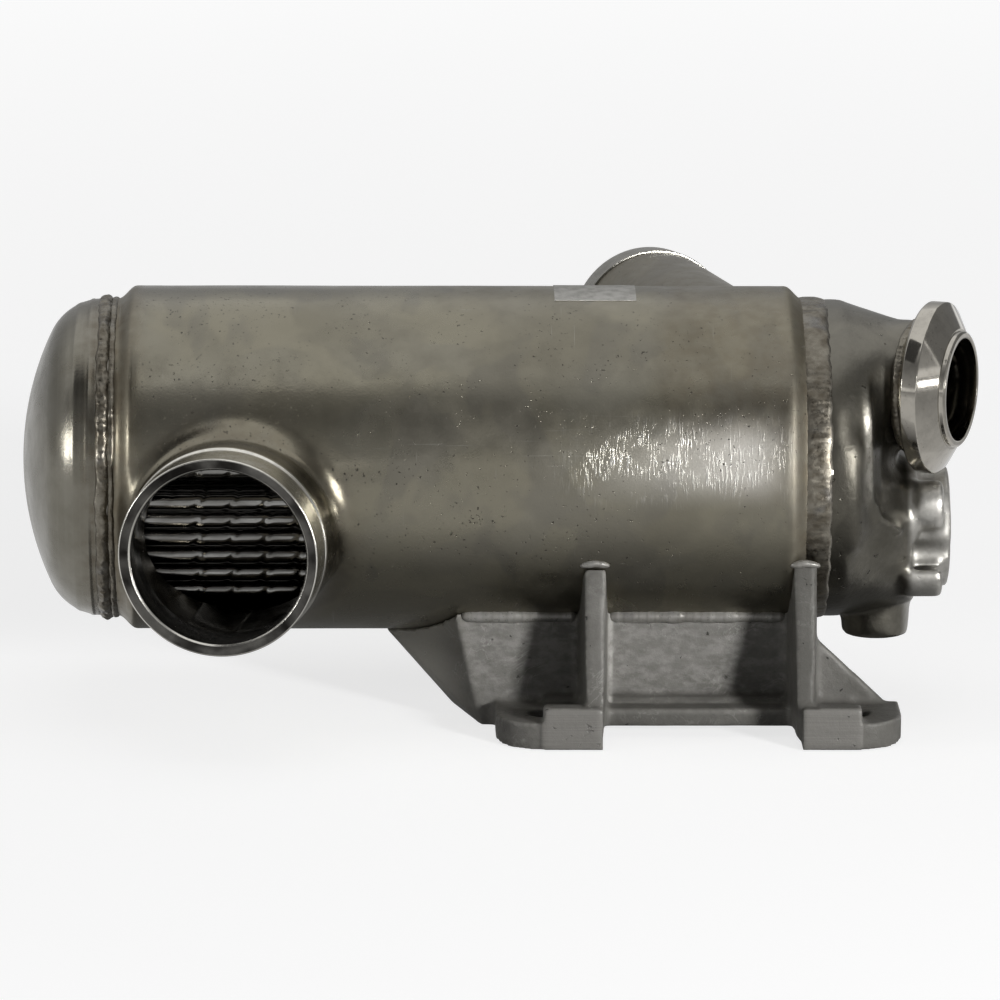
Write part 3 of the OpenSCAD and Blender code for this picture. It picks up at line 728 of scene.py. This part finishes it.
def pass_places():
    pitch, tube_r = 10.6, 4.0
    row_0, step, bundle = 2.5 + tube_r + 0.7, pitch * math.sin(math.pi / 3), NECK_R - SHELL_WALL - 5.3
    for k in range(6):
        z = row_0 + k * step
        s = 0.5 if k % 2 == 0 else 0.0
        n = math.floor(math.sqrt(bundle ** 2 - z * z) / pitch - s)
        row = list(range(-n - 1 if s else -n, n + 1))
        for i, j in enumerate(row):
            yield (j + s) * pitch, z, k, i, len(row) - 1 - i


def tube_mesh(y, z, helix):
    """One gas tube with its bore; helix lists the stretches that carry the corrugation."""
    left, right, r, bore, pitch, depth = SHEET_LEFT - 1.5, SHEET_RIGHT + 1.5, 4.0, 2.9, 14.6, 0.72
    sides = 22 if helix else 12
    xs = [left]
    for a, b in helix:
        xs += [a + (b - a) * i / int((b - a) / 0.95) for i in range(int((b - a) / 0.95) + 1)]
    xs.append(right)
    verts = []
    for x in xs:
        ease = max([0.0] + [min(1.0, (x - a) / 5, (b - x) / 5) for a, b in helix])
        for j in range(sides):
            f = 2 * math.pi * j / sides
            d = ((x / pitch + f / (2 * math.pi)) % 1.0 - 0.5) * pitch
            rr = r - depth * ease * math.exp(-(d / 1.25) ** 2)
            verts.append((x, y + rr * math.cos(f), z + rr * math.sin(f)))
    for x in (right, left):
        for j in range(sides):
            f = 2 * math.pi * j / sides
            verts.append((x, y + bore * math.cos(f), z + bore * math.sin(f)))
    return verts, rings_to_faces(len(xs) + 2, sides)


def bundle_mesh(side):
    by_inlet, by_outlet = (-233.0, -138.0), (-42.0, 42.0)
    parts = []
    for y, z, k, first, last in pass_places():
        helix = []
        if (side < 0 and first < 3) or (side > 0 and k < 2 and first < 3):
            helix.append(by_inlet)
        if side > 0 and last < 2:
            helix.append(by_outlet)
        parts.append(tube_mesh(y, side * z, helix))
    return join(parts)


def cast_from(node, name, voxel, ripple, rounds, shape, material, slot):
    """A casting's look from its solid: edges and corners rounded as a mould leaves them.

    rounds(points) gives each point's share of the smoothing and how many passes it has; shape(points),
    if any, gives the height added along the normal. Points are in the shell's own plane."""
    obj = bpy.data.objects.new(name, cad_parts[node].data.copy())
    bpy.context.scene.collection.objects.link(obj)
    remesh = obj.modifiers.new("skin", "REMESH")
    remesh.mode = "VOXEL"
    remesh.voxel_size = voxel * MM
    bpy.context.view_layer.update()
    graph = bpy.context.evaluated_depsgraph_get()
    mesh = bpy.data.meshes.new_from_object(obj.evaluated_get(graph))
    obj.modifiers.clear()
    obj.data = mesh
    count = len(mesh.vertices)
    place, normal = np.empty(3 * count), np.empty(3 * count)
    pairs = np.empty(2 * len(mesh.edges), np.int32)
    mesh.vertices.foreach_get("co", place)
    mesh.edges.foreach_get("vertices", pairs)
    place, (a, b) = place.reshape(-1, 3), pairs.reshape(-1, 2).T
    near = np.bincount(a, minlength=count) + np.bincount(b, minlength=count)
    share, passes = rounds(place / MM - (0, SET_BACK, AXIS_H))
    for _ in range(passes):
        total = np.stack([np.bincount(a, place[b, k], count) + np.bincount(b, place[a, k], count)
                          for k in range(3)], 1)
        place = place + (total / near[:, None] - place) * (0.5 * share)[:, None]
    mesh.vertices.foreach_set("co", place.ravel())
    mesh.update()
    mesh.vertex_normals.foreach_get("vector", normal)
    wave = np.array([noise.noise(p / 6) * 0.6 + noise.noise(p / 15) for p in map(Vector, place / MM)])
    height = wave * ripple
    if shape:
        height = height + shape(place / MM - (0, SET_BACK, AXIS_H))
    mesh.vertices.foreach_set("co", (place + normal.reshape(-1, 3) * (height * MM)[:, None]).ravel())
    mesh.update()
    mesh.shade_smooth()
    return dress(obj, material, slot, (node,))


def window(v, lo, hi, soft):
    k = np.clip(np.minimum(v - lo, hi - v) / soft, 0, 1)
    return k * k * (3 - 2 * k)


def header_rounds(p):
    """The chambers are smooth; the machined flange and its lobes keep their edges."""
    x, y, z = p.T
    panel = window(x, 58, 100, 8) * window(z, -36, 60, 14) * np.clip((-20 - y) / 14, 0, 1)
    return np.maximum(np.where(x < 94, 0.14, 0.1), panel), 110


def header_shape(p):
    """Ridge down the front of the chambers, and the hollow between it and the outlet flange."""
    x, y, z = p.T
    front = np.clip((-12 - y) / 14, 0, 1)
    line = [(73.0, 46.0), (73.5, 20.0), (74.0, -6.0), (79.0, -16.0), (88.0, -23.0)]
    away = np.full(len(p), 99.0)
    for (x0, z0), (x1, z1) in zip(line, line[1:]):
        dx, dz = x1 - x0, z1 - z0
        t = np.clip(((x - x0) * dx + (z - z0) * dz) / (dx * dx + dz * dz), 0, 1)
        away = np.minimum(away, np.hypot(x - x0 - t * dx, z - z0 - t * dz))
    ridge = 2.1 * np.exp(-(away / 1.9) ** 2) * np.clip((48 - z) / 20, 0, 1)
    hollow = 2.2 * window(x, 76, 98, 7) * window(z, -20, 32, 12)
    return front * (ridge - hollow)


def bracket_rounds(p):
    """The milled pads keep their edges."""
    return np.where(p[:, 1] < -79, 0.12, 1.0), 3


# ---- the part -----------------------------------------------------------------------------------
barrel_mat = barrel_material(PORTS)
head_mat = head_material()
inlet_mat = turned_material("turned_inlet", INLET.row_origin(), tuple(INLET.ez),
                            light=(0.7, 0.68, 0.627), rough_at=0.17, dull=INLET.face())
outlet_mat = turned_material("turned_outlet", OUTLET.row_origin(), tuple(OUTLET.ez),
                             light=(0.33, 0.32, 0.29), rough_at=0.24, dull=OUTLET.face())
gas_axis = (math.cos(GAS_IN_TURN), -math.sin(GAS_IN_TURN), 0)
gas_origin = (GAS_IN[0], GAS_IN[1] + SET_BACK, GAS_IN[2] + AXIS_H)
vband_mat = turned_material("turned_vband", gas_origin, gas_axis,
                            light=(0.45, 0.426, 0.378), rough_at=0.07)
tube_mat, plate_mat = tube_material(), plate_material()
weld_mat = weld_material("weld_bead", (0.22, 0.204, 0.17), (0.11, 0.096, 0.074))
pale_weld_mat = weld_material("pale_weld_bead", (0.26, 0.254, 0.236), (0.17, 0.163, 0.147), 0.25)
header_mat = cast_material("cast_header", (0.13, 0.123, 0.104), (0.085, 0.08, 0.066), rough_at=0.28, seed=1,
                           edge=0.5, relief=1.0, metallic=1.0, shine=0.5, finish=header_finish_and_painted_light)
bracket_mat = cast_material("cast_bracket", (0.2, 0.194, 0.179), (0.145, 0.14, 0.127), rough_at=0.42, seed=5,
                            edge=0.6, relief=2.0, metallic=0.06, shine=0.15, finish=bracket_finish_and_painted_light)

make("shell_skin", *shell_mesh(), barrel_mat, "barrel", ("shell",), weld=0.02, sharp=50)
make("bonnet_skin", *bonnet_mesh(), head_mat, "pressed_head", ("return_bonnet",), weld=0.005)


def port_profile(od, bore, length):
    """Turned ring [radius, along]: seat, shoulder, barrel, broad dished end face, small inner bevel."""
    r, hole, shoulder = od / 2, bore / 2, 0.8
    points = [(hole, 0), (r + shoulder, 0), (r + shoulder, 2.4), (r, 3.2), (r, length - 0.5),
              (r - 0.5, length), (hole + 0.9, length - 0.9), (hole, length - 1.8)]
    return soften(points, [0.2, 0.3, 0.5, 0.5, 0.25, 0.25, 0.2, 0.3])


for label, port, mat in (("inlet", INLET, inlet_mat), ("outlet", OUTLET, outlet_mat)):
    verts, faces = revolve(port_profile(2 * port.r, port.bore, port.length),
                           lambda r, a, z, p=port: p.place(r, a, p.seat + z), 180)
    make(f"{label}_port", verts, faces, mat, "turned", (f"{label}_ring",))

bore_r, hub_r, rim_r = 22.7, 29.0, 38.0
vband = soften([(bore_r, -11), (hub_r, -11), (hub_r, -8), (rim_r - 1.2, -8), (rim_r, -6.8), (rim_r, 0),
                (bore_r + 3.8, 6.8), (bore_r + 3, 6.8), (bore_r + 3, 8.6), (bore_r + 2, 9.4), (bore_r, 9.4)],
               [0.2, 0.2, 0.8, 0.3, 0.3, 0.5, 0.5, 0.2, 0.3, 0.3, 0.3])
make("vband_turned", *revolve(vband, on_gas_inlet, 180), vband_mat, "turned", ("vband_flange",))

make("bonnet_bead", *weld_ring(on_shell(SHEET_LEFT), NECK_R, width=5.6, height=1.8, pitch=3.1,
                               ripple=0.13, wild=1.5, seed=1),
     weld_mat, "weld", ("bonnet_weld",), sharp=70)
make("shell_bead", *weld_ring(on_shell(SHELL_LEFT), NECK_R, width=3.0, height=1.0, pitch=2.2,
                              ripple=0.16, wild=1.2, seed=2),
     weld_mat, "weld", ("shell_weld",), sharp=70)
make("header_bead", *weld_ring(on_shell(SHEET_RIGHT - 2), NECK_R, width=12.8, height=1.1, pitch=4.4,
                               ripple=0.04, wild=1.4, seed=3, stray=0.4),
     weld_mat, "weld", ("header_weld",), sharp=70)
make("vband_bead", *weld_ring(lambda r, a, z: on_gas_inlet(r, a, z - 12), hub_r, width=4.6, height=1.5,
                              pitch=2.4, ripple=0.18, wild=1.0, seed=4),
     weld_mat, "weld", ("vband_weld",), sharp=70)

seam_z = -math.sqrt(SHELL_R ** 2 - WALL_Y ** 2)
beads = []
for s in (-1, 1):
    for x0, x1 in ((-104, -RIB_X - 7), (-RIB_X + 7, RIB_X - 7)):
        wall_top = [(x, s * (WALL_Y - 1.0), seam_z - 1.6) for x in (x0, x1)]
        beads.append(weld_line(wall_top, radius=3.1, pitch=3.4, seed=2 * s + x0, taper=4.0))
    for x in (-RIB_X, RIB_X):
        rib_top = [(x - 6.5, s * 68.3, -33.6), (x, s * 68.9, -32.4), (x + 6.5, s * 68.3, -33.6)]
        beads.append(weld_line(rib_top, radius=1.8, pitch=3.0, seed=5 * s + x, taper=6.0))
make("bracket_beads", *join(beads), pale_weld_mat, "weld", ("bracket_welds",), sharp=70)

make("lower_bundle", *bundle_mesh(-1), tube_mat, "tube", ("lower_tubes",))
make("upper_bundle", *bundle_mesh(1), tube_mat, "tube", ("upper_tubes",))
cast_from("gas_header", "header_casting", voxel=1.15, ripple=0.12, rounds=header_rounds,
          shape=header_shape, material=header_mat, slot="header_cast")
cast_from("bracket", "bracket_casting", voxel=1.25, ripple=0.07, rounds=bracket_rounds,
          shape=None, material=bracket_mat, slot="bracket_cast")
for name in ("return_tube_sheet", "header_tube_sheet", "baffle_1", "baffle_2", "baffle_3"):
    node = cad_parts[name]
    node.data.materials.clear()
    node.data.materials.append(plate_mat)


def label_mesh():
    """Thin blank sheet bent over the top of the shell."""
    n, left, width, first, sweep = 18, -63, 36, 77, 23
    verts = []
    for r in (SHELL_R + 0.32, SHELL_R - 0.3):
        for i in range(n):
            for j in range(n):
                x = left + width * i / (n - 1)
                a = math.radians(first + sweep * j / (n - 1))
                verts.append((x, -r * math.cos(a), r * math.sin(a)))
    faces = []
    for k in (0, n * n):
        faces += [(k + i * n + j, k + i * n + j + 1, k + (i + 1) * n + j + 1, k + (i + 1) * n + j)
                  for i in range(n - 1) for j in range(n - 1)]
    edge = [i * n for i in range(n)] + [(n - 1) * n + j for j in range(1, n)]
    edge += [i * n + n - 1 for i in range(n - 2, -1, -1)] + list(range(n - 2, 0, -1))
    faces += [(a, b, b + n * n, a + n * n) for a, b in zip(edge, edge[1:] + edge[:1])]
    return verts, faces


make("blank_label", *label_mesh(), label_material(), "barrel")


# ---- stage --------------------------------------------------------------------------------------
def background_mix(tree, background, other, out):
    """Shows background to camera, glossy and transmission rays, and other to the rest."""
    path = tree.nodes.new("ShaderNodeLightPath")
    seen = path.outputs["Is Camera Ray"]
    for ray in ("Is Glossy Ray", "Is Transmission Ray"):
        most = tree.nodes.new("ShaderNodeMath")
        most.operation = "MAXIMUM"
        tree.links.new(seen, most.inputs[0])
        tree.links.new(path.outputs[ray], most.inputs[1])
        seen = most.outputs[0]
    mixer = tree.nodes.new("ShaderNodeMixShader")
    tree.links.new(seen, mixer.inputs[0])
    tree.links.new(other, mixer.inputs[1])
    tree.links.new(background, mixer.inputs[2])
    tree.links.new(mixer.outputs[0], out)


def plane(name, corners, material):
    mesh = bpy.data.meshes.new(name)
    mesh.from_pydata(corners, [], [tuple(range(len(corners)))])
    mesh.materials.append(material)
    obj = bpy.data.objects.new(name, mesh)
    bpy.context.scene.collection.objects.link(obj)
    return obj


def flat(x0, y0, x1, y1, z):
    return [(x0, y0, z), (x1, y0, z), (x1, y1, z), (x0, y1, z)]


def glow(name, stops, axis):
    """Emission that runs through stops [position in metres, strength] along a world axis."""
    mat = bpy.data.materials.new(name)
    tree = bare(mat)
    out = tree.nodes.new("ShaderNodeOutputMaterial")
    light = tree.nodes.new("ShaderNodeEmission")
    tree.links.new(light.outputs[0], out.inputs[0])
    where = tree.nodes.new("ShaderNodeNewGeometry")
    split = tree.nodes.new("ShaderNodeSeparateXYZ")
    tree.links.new(where.outputs["Position"], split.inputs[0])
    ramp = tree.nodes.new("ShaderNodeValToRGB")
    lo, hi = stops[0][0], stops[-1][0]
    span = tree.nodes.new("ShaderNodeMapRange")
    tree.links.new(split.outputs[axis], span.inputs[0])
    span.inputs[1].default_value, span.inputs[2].default_value = lo, hi
    tree.links.new(span.outputs[0], ramp.inputs[0])
    while len(ramp.color_ramp.elements) < len(stops):
        ramp.color_ramp.elements.new(0.5)
    for element, (at, strength) in zip(ramp.color_ramp.elements, stops):
        element.position = (at - lo) / (hi - lo)
        element.color = (strength, strength, strength, 1)
    tree.links.new(ramp.outputs[0], light.inputs[0])
    return mat


def card(obj):
    """A studio card: the metal sees it, the camera and the lamps don't."""
    obj.visible_camera = False
    obj.visible_diffuse = False
    obj.visible_transmission = False
    obj.visible_shadow = False
    return obj


scene = bpy.context.scene
scene.view_settings.view_transform = "Standard"

world = bpy.data.worlds.new("studio")
scene.world = world
tree = bare(world)
white = tree.nodes.new("ShaderNodeBackground")
white.inputs["Strength"].default_value = 1.0
white.inputs["Color"].default_value = (1, 1, 1, 1)
fill = tree.nodes.new("ShaderNodeBackground")
fill.inputs["Color"].default_value = (0.9, 0.92, 0.95, 1)
fill.inputs["Strength"].default_value = 0.06
background_mix(tree, white.outputs[0], fill.outputs[0],
               tree.nodes.new("ShaderNodeOutputWorld").inputs[0])

floor_mat = bpy.data.materials.new("pale_floor")
tree = bare(floor_mat)
matte = tree.nodes.new("ShaderNodeBsdfDiffuse")
matte.inputs["Color"].default_value = (0.36, 0.36, 0.36, 1)
lift = tree.nodes.new("ShaderNodeEmission")
where = tree.nodes.new("ShaderNodeNewGeometry")
reach = tree.nodes.new("ShaderNodeVectorMath")
reach.operation = "LENGTH"
tree.links.new(where.outputs["Position"], reach.inputs[0])
spread = tree.nodes.new("ShaderNodeMapRange")
tree.links.new(reach.outputs["Value"], spread.inputs[0])
for socket, v in zip(list(spread.inputs)[1:5], (0.4, 3.0, 0.74, 0.98)):
    socket.default_value = v
tree.links.new(spread.outputs[0], lift.inputs["Strength"])
both = tree.nodes.new("ShaderNodeAddShader")
tree.links.new(matte.outputs[0], both.inputs[0])
tree.links.new(lift.outputs[0], both.inputs[1])
background_mix(tree, both.outputs[0], matte.outputs[0],
               tree.nodes.new("ShaderNodeOutputMaterial").inputs[0])
plane("floor", flat(-40, -40, 40, 40, -0.0005), floor_mat)
middle = (-0.09, 0.07, 0.1)


def round_card(name, radius, first, last, top, stops):
    """An upright card bent round the part, from one bearing to the other (0 is the front)."""
    count = 24
    verts = []
    for i in range(count + 1):
        a = math.radians(first + (last - first) * i / count)
        verts += [(middle[0] + radius * math.sin(a), middle[1] - radius * math.cos(a), z) for z in (0.0, top)]
    mesh = bpy.data.meshes.new(name)
    mesh.from_pydata(verts, [], [(2 * i, 2 * i + 2, 2 * i + 3, 2 * i + 1) for i in range(count)])
    mesh.materials.append(glow(name, stops, 2))
    obj = bpy.data.objects.new(name, mesh)
    scene.collection.objects.link(obj)
    card(obj)


round_card("front_card", 2.2, -88, 88, 3.8,
           [(0.0, 0.6), (0.2, 0.45), (0.26, 0.15), (0.31, 1.0), (0.44, 1.0), (0.5, 0.46),
            (0.75, 0.38), (1.3, 0.28), (1.9, 0.2), (2.6, 0.3), (3.2, 0.38), (3.8, 0.62)])
round_card("back_card", 2.3, -89, -206, 1.9, [(0.0, 0.46), (0.9, 0.4), (1.9, 0.8)])
table_mat = glow("table_card", [(-2.1, 0.74), (2.3, 0.68)], 1)
card(plane("table_card", flat(-2.1, -2.1, 2.1, 2.3, -0.0003), table_mat))
# Painted shadow: a card, dark under the part, stands in for the floor's shadow in the metal's reflections.
shade_mat = glow("shade_card", [(-0.14, 0.6), (-0.03, 0.16), (0.16, 0.12), (0.25, 0.4)], 1)
card(plane("shade_card", flat(-0.27, -0.14, 0.12, 0.25, -0.0001), shade_mat))
side_mat = glow("side_card", [(0.25, 0.6), (0.6, 0.4), (2.1, 0.36)], 0)
card(plane("side_card", flat(0.25, -2.1, 2.1, 0.6, -0.0002), side_mat))
flag, flag_r = [], 2.4
for turn, rise in ((-32, 42), (-82, 42), (-82, 70), (-32, 70)):
    turn, rise = math.radians(turn), math.radians(rise)
    flag.append((middle[0] + flag_r * math.cos(rise) * math.sin(turn),
                 middle[1] - flag_r * math.cos(rise) * math.cos(turn),
                 middle[2] + flag_r * math.sin(rise)))
card(plane("flag_card", flag, glow("flag_card", [(1.5, 0.05), (2.4, 0.08)], 2)))
corner_mat = glow("corner_card", [(0.0, 0.4), (0.06, 0.5), (0.1, 1.0), (0.22, 1.0), (0.28, 0.2),
                                  (2.4, 0.28)], 2)
corner = [(2.12, 0.05, 0), (2.12, 0.05, 2.4), (0.6, 2.6, 2.4), (0.6, 2.6, 0)]
card(plane("corner_card", corner, corner_mat))


def lamp(name, place, target, size, power):
    data = bpy.data.lights.new(name, "AREA")
    data.shape = "RECTANGLE"
    data.size, data.size_y = size
    data.energy = power
    obj = bpy.data.objects.new(name, data)
    obj.location = place
    aim = Vector(target) - Vector(place)
    obj.rotation_euler = aim.to_track_quat("-Z", "Y").to_euler()
    obj.visible_camera = False
    scene.collection.objects.link(obj)
    return obj


lamp("key", (1.45, -1.75, 0.55), middle, (0.3, 0.3), 58)
lamp("top", (-0.1, 0.1, 1.9), middle, (1.6, 1.2), 7).visible_glossy = False
lamp("left_strip", (-2.0, -0.68, 0.49), middle, (0.42, 0.4), 8)
lamp("right_strip", (2.0, -0.32, 0.16), (0.1, 0.07, 0.14), (0.55, 0.09), 2.0)

az, el, roll = (math.radians(v) for v in (-0.907, 12.619, 0.247))
distance, focal_px, seen_at = 3198.1, 7189.6, (501.1, 460.4)
back = Vector((math.sin(az) * math.cos(el), -math.cos(az) * math.cos(el), math.sin(el)))
level = Vector((math.cos(az), math.sin(az), 0))
above = back.cross(level)
right = level * math.cos(roll) + above * math.sin(roll)
up = above * math.cos(roll) - level * math.sin(roll)
per_mm = focal_px / distance
aim = Vector((-86, SET_BACK, 109.5))
aim += right * ((500 - seen_at[0]) / per_mm) - up * ((500 - seen_at[1]) / per_mm)
camera = bpy.data.objects.new("camera", bpy.data.cameras.new("camera"))
scene.collection.objects.link(camera)
camera.data.sensor_width = 36
camera.data.lens = 36 * focal_px / 1000
camera.data.clip_end = 200
spot = (aim + back * distance) * MM
camera.matrix_world = Matrix(((right[0], up[0], back[0], spot[0]), (right[1], up[1], back[1], spot[1]),
                              (right[2], up[2], back[2], spot[2]), (0, 0, 0, 1)))
scene.camera = camera

bpy.context.view_layer.update()
